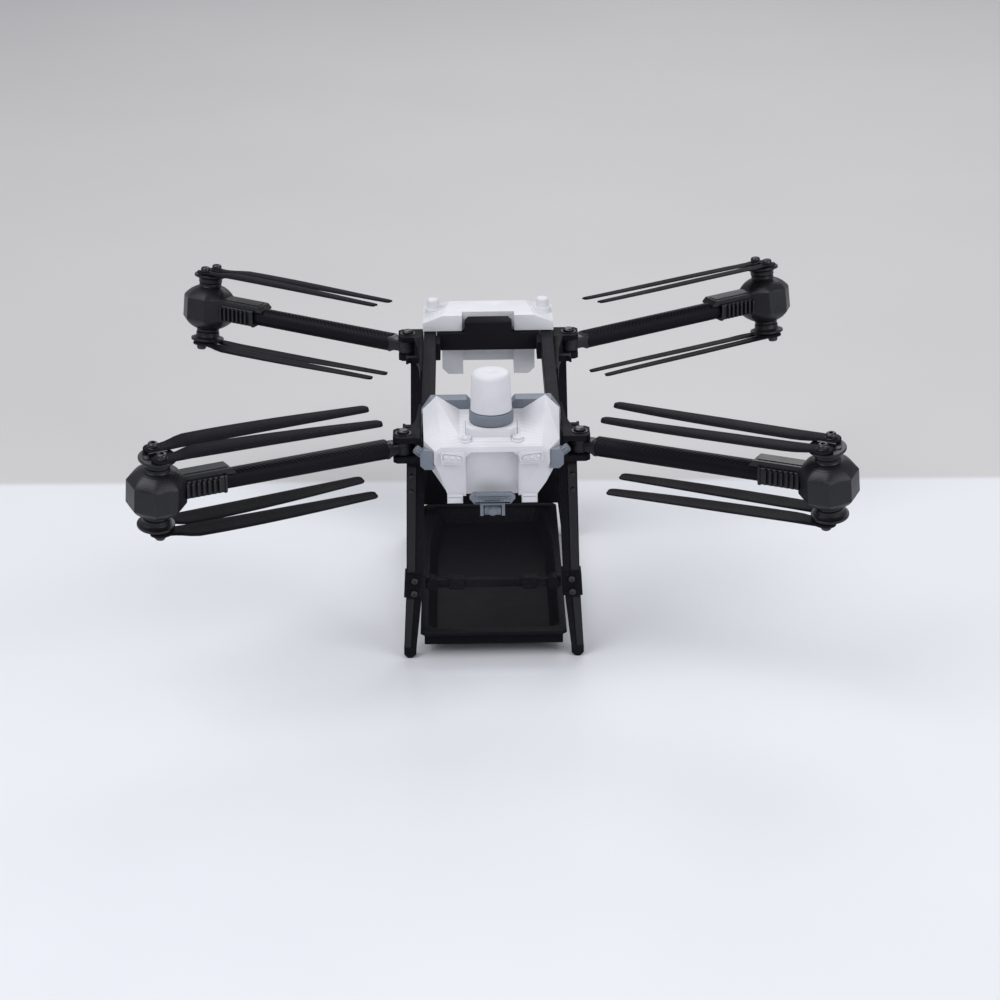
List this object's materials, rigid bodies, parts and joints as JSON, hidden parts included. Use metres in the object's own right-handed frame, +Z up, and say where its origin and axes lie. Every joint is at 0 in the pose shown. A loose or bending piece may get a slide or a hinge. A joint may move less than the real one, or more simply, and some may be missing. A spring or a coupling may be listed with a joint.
{
  "type": "multirotor drone model",
  "caption": "Desktop scale model of a heavy-lift cargo drone: folding arms, stacked rotors with folding blades, box nose, cargo tray between landing legs.",
  "frame": {"origin": "on the ground, under the middle of the whole model", "axes": "+Z up, -Y forwards (the nose), +X towards the drone's own left side"},
  "size_m": [0.2358, 0.2064, 0.1034],
  "materials": {
    "black_pla": "fine layer lines, satin",
    "grey_pla": "fine layer lines, matte",
    "white_pla": "fine layer lines, matte",
    "black_screw": "black oxide steel"
  },
  "bodies": {
    "frame": {"arm_bracket_front_left": "black_pla", "hinge_pin_front_left": "black_screw", "leg_front_left": "black_pla", "arm_bracket_front_right": "black_pla", "hinge_pin_front_right": "black_screw", "leg_front_right": "black_pla", "arm_bracket_rear_left": "black_pla", "hinge_pin_rear_left": "black_screw", "leg_rear_left": "black_pla", "arm_bracket_rear_right": "black_pla", "hinge_pin_rear_right": "black_screw", "leg_rear_right": "black_pla", "side_rail_left": "black_pla", "cheek_pod_left": "grey_pla", "side_rail_right": "black_pla", "cheek_pod_right": "grey_pla", "rear_crossmember": "black_pla", "nose_shell": "white_pla", "nose_back_shell": "grey_pla", "canister": "white_pla", "canister_collar": "grey_pla", "sensor_bar": "grey_pla", "gimbal_bracket": "grey_pla", "rear_shell": "white_pla", "front_crossbar": "black_pla", "rear_panel": "black_pla", "cargo_tray": "black_pla"},
    "arm_front_left": {"arm_front_left": "black_pla", "motor_pod_front_left": "black_pla"},
    "hub_front_left_upper": {"hub_front_left_upper": "black_pla"},
    "blade_front_left_upper_a": {"blade_front_left_upper_a": "black_pla"},
    "blade_front_left_upper_b": {"blade_front_left_upper_b": "black_pla"},
    "hub_front_left_lower": {"hub_front_left_lower": "black_pla"},
    "blade_front_left_lower_a": {"blade_front_left_lower_a": "black_pla"},
    "blade_front_left_lower_b": {"blade_front_left_lower_b": "black_pla"},
    "arm_front_right": {"arm_front_right": "black_pla", "motor_pod_front_right": "black_pla"},
    "hub_front_right_upper": {"hub_front_right_upper": "black_pla"},
    "blade_front_right_upper_a": {"blade_front_right_upper_a": "black_pla"},
    "blade_front_right_upper_b": {"blade_front_right_upper_b": "black_pla"},
    "hub_front_right_lower": {"hub_front_right_lower": "black_pla"},
    "blade_front_right_lower_a": {"blade_front_right_lower_a": "black_pla"},
    "blade_front_right_lower_b": {"blade_front_right_lower_b": "black_pla"},
    "arm_rear_left": {"arm_rear_left": "black_pla", "motor_pod_rear_left": "black_pla"},
    "hub_rear_left_upper": {"hub_rear_left_upper": "black_pla"},
    "blade_rear_left_upper_a": {"blade_rear_left_upper_a": "black_pla"},
    "blade_rear_left_upper_b": {"blade_rear_left_upper_b": "black_pla"},
    "hub_rear_left_lower": {"hub_rear_left_lower": "black_pla"},
    "blade_rear_left_lower_a": {"blade_rear_left_lower_a": "black_pla"},
    "blade_rear_left_lower_b": {"blade_rear_left_lower_b": "black_pla"},
    "arm_rear_right": {"arm_rear_right": "black_pla", "motor_pod_rear_right": "black_pla"},
    "hub_rear_right_upper": {"hub_rear_right_upper": "black_pla"},
    "blade_rear_right_upper_a": {"blade_rear_right_upper_a": "black_pla"},
    "blade_rear_right_upper_b": {"blade_rear_right_upper_b": "black_pla"},
    "hub_rear_right_lower": {"hub_rear_right_lower": "black_pla"},
    "blade_rear_right_lower_a": {"blade_rear_right_lower_a": "black_pla"},
    "blade_rear_right_lower_b": {"blade_rear_right_lower_b": "black_pla"},
    "gimbal_camera": {"gimbal_camera": "grey_pla"}
  },
  "joints": [
    {"name": "arm_fold_front_left", "type": "hinge", "parent": "frame", "child": "arm_front_left", "pos_m": [0.0294, -0.053, 0.0776], "axis": [0, 0, 1], "range_deg": [0, 100]},
    {"name": "rotor_spin_front_left_upper", "type": "hinge", "parent": "arm_front_left", "child": "hub_front_left_upper", "pos_m": [0.1078, -0.09295, 0.07883], "axis": [0.0833, 0.1331, -0.9876], "continuous": true},
    {"name": "blade_pivot_front_left_upper_a", "type": "hinge", "parent": "hub_front_left_upper", "child": "blade_front_left_upper_a", "pos_m": [0.10948, -0.08964, 0.07942], "axis": [-0.0833, -0.1331, 0.9876], "range_deg": [-100, 0]},
    {"name": "blade_pivot_front_left_upper_b", "type": "hinge", "parent": "hub_front_left_upper", "child": "blade_front_left_upper_b", "pos_m": [0.10613, -0.09625, 0.07824], "axis": [0.0833, 0.1331, -0.9876], "range_deg": [-100, 0]},
    {"name": "rotor_spin_front_left_lower", "type": "hinge", "parent": "arm_front_left", "child": "hub_front_left_lower", "pos_m": [0.1078, -0.09295, 0.07883], "axis": [0.0833, 0.1331, -0.9876], "continuous": true},
    {"name": "blade_pivot_front_left_lower_a", "type": "hinge", "parent": "hub_front_left_lower", "child": "blade_front_left_lower_a", "pos_m": [0.10613, -0.09625, 0.07824], "axis": [0.0833, 0.1331, -0.9876], "range_deg": [-100, 0]},
    {"name": "blade_pivot_front_left_lower_b", "type": "hinge", "parent": "hub_front_left_lower", "child": "blade_front_left_lower_b", "pos_m": [0.10948, -0.08964, 0.07942], "axis": [-0.0833, -0.1331, 0.9876], "range_deg": [-100, 0]},
    {"name": "arm_fold_front_right", "type": "hinge", "parent": "frame", "child": "arm_front_right", "pos_m": [-0.0294, -0.053, 0.0776], "axis": [0, 0, 1], "range_deg": [-100, 0]},
    {"name": "rotor_spin_front_right_upper", "type": "hinge", "parent": "arm_front_right", "child": "hub_front_right_upper", "pos_m": [-0.1078, -0.09295, 0.07883], "axis": [-0.0833, 0.1331, -0.9876], "continuous": true},
    {"name": "blade_pivot_front_right_upper_a", "type": "hinge", "parent": "hub_front_right_upper", "child": "blade_front_right_upper_a", "pos_m": [-0.10613, -0.09625, 0.07824], "axis": [-0.0833, 0.1331, -0.9876], "range_deg": [0, 100]},
    {"name": "blade_pivot_front_right_upper_b", "type": "hinge", "parent": "hub_front_right_upper", "child": "blade_front_right_upper_b", "pos_m": [-0.10948, -0.08964, 0.07942], "axis": [0.0833, -0.1331, 0.9876], "range_deg": [0, 100]},
    {"name": "rotor_spin_front_right_lower", "type": "hinge", "parent": "arm_front_right", "child": "hub_front_right_lower", "pos_m": [-0.1078, -0.09295, 0.07883], "axis": [-0.0833, 0.1331, -0.9876], "continuous": true},
    {"name": "blade_pivot_front_right_lower_a", "type": "hinge", "parent": "hub_front_right_lower", "child": "blade_front_right_lower_a", "pos_m": [-0.10948, -0.08964, 0.07942], "axis": [0.0833, -0.1331, 0.9876], "range_deg": [0, 100]},
    {"name": "blade_pivot_front_right_lower_b", "type": "hinge", "parent": "hub_front_right_lower", "child": "blade_front_right_lower_b", "pos_m": [-0.10613, -0.09625, 0.07824], "axis": [-0.0833, 0.1331, -0.9876], "range_deg": [0, 100]},
    {"name": "arm_fold_rear_left", "type": "hinge", "parent": "frame", "child": "arm_rear_left", "pos_m": [0.0294, 0.049, 0.0776], "axis": [0, 0, 1], "range_deg": [-103, 0]},
    {"name": "rotor_spin_rear_left_upper", "type": "hinge", "parent": "arm_rear_left", "child": "hub_rear_left_upper", "pos_m": [0.1056, 0.093, 0.07883], "axis": [0.0902, -0.1286, -0.9876], "continuous": true},
    {"name": "blade_pivot_rear_left_upper_a", "type": "hinge", "parent": "hub_rear_left_upper", "child": "blade_rear_left_upper_a", "pos_m": [0.10376, 0.09621, 0.07824], "axis": [0.0902, -0.1286, -0.9876], "range_deg": [0, 100]},
    {"name": "blade_pivot_rear_left_upper_b", "type": "hinge", "parent": "hub_rear_left_upper", "child": "blade_rear_left_upper_b", "pos_m": [0.10745, 0.08978, 0.07942], "axis": [-0.0902, 0.1286, 0.9876], "range_deg": [0, 100]},
    {"name": "rotor_spin_rear_left_lower", "type": "hinge", "parent": "arm_rear_left", "child": "hub_rear_left_lower", "pos_m": [0.1056, 0.093, 0.07883], "axis": [0.0902, -0.1286, -0.9876], "continuous": true},
    {"name": "blade_pivot_rear_left_lower_a", "type": "hinge", "parent": "hub_rear_left_lower", "child": "blade_rear_left_lower_a", "pos_m": [0.10745, 0.08978, 0.07942], "axis": [-0.0902, 0.1286, 0.9876], "range_deg": [0, 100]},
    {"name": "blade_pivot_rear_left_lower_b", "type": "hinge", "parent": "hub_rear_left_lower", "child": "blade_rear_left_lower_b", "pos_m": [0.10376, 0.09621, 0.07824], "axis": [0.0902, -0.1286, -0.9876], "range_deg": [0, 100]},
    {"name": "arm_fold_rear_right", "type": "hinge", "parent": "frame", "child": "arm_rear_right", "pos_m": [-0.0294, 0.049, 0.0776], "axis": [0, 0, 1], "range_deg": [0, 103]},
    {"name": "rotor_spin_rear_right_upper", "type": "hinge", "parent": "arm_rear_right", "child": "hub_rear_right_upper", "pos_m": [-0.1056, 0.093, 0.07883], "axis": [-0.0902, -0.1286, -0.9876], "continuous": true},
    {"name": "blade_pivot_rear_right_upper_a", "type": "hinge", "parent": "hub_rear_right_upper", "child": "blade_rear_right_upper_a", "pos_m": [-0.10745, 0.08978, 0.07942], "axis": [0.0902, 0.1286, 0.9876], "range_deg": [-100, 0]},
    {"name": "blade_pivot_rear_right_upper_b", "type": "hinge", "parent": "hub_rear_right_upper", "child": "blade_rear_right_upper_b", "pos_m": [-0.10376, 0.09621, 0.07824], "axis": [-0.0902, -0.1286, -0.9876], "range_deg": [-100, 0]},
    {"name": "rotor_spin_rear_right_lower", "type": "hinge", "parent": "arm_rear_right", "child": "hub_rear_right_lower", "pos_m": [-0.1056, 0.093, 0.07883], "axis": [-0.0902, -0.1286, -0.9876], "continuous": true},
    {"name": "blade_pivot_rear_right_lower_a", "type": "hinge", "parent": "hub_rear_right_lower", "child": "blade_rear_right_lower_a", "pos_m": [-0.10376, 0.09621, 0.07824], "axis": [-0.0902, -0.1286, -0.9876], "range_deg": [-100, 0]},
    {"name": "blade_pivot_rear_right_lower_b", "type": "hinge", "parent": "hub_rear_right_lower", "child": "blade_rear_right_lower_b", "pos_m": [-0.10745, 0.08978, 0.07942], "axis": [0.0902, 0.1286, 0.9876], "range_deg": [-100, 0]},
    {"name": "gimbal_tilt", "type": "hinge", "parent": "frame", "child": "gimbal_camera", "pos_m": [0, -0.06417, 0.0588], "axis": [1, 0, 0], "range_deg": [-15, 90]}
  ]
}
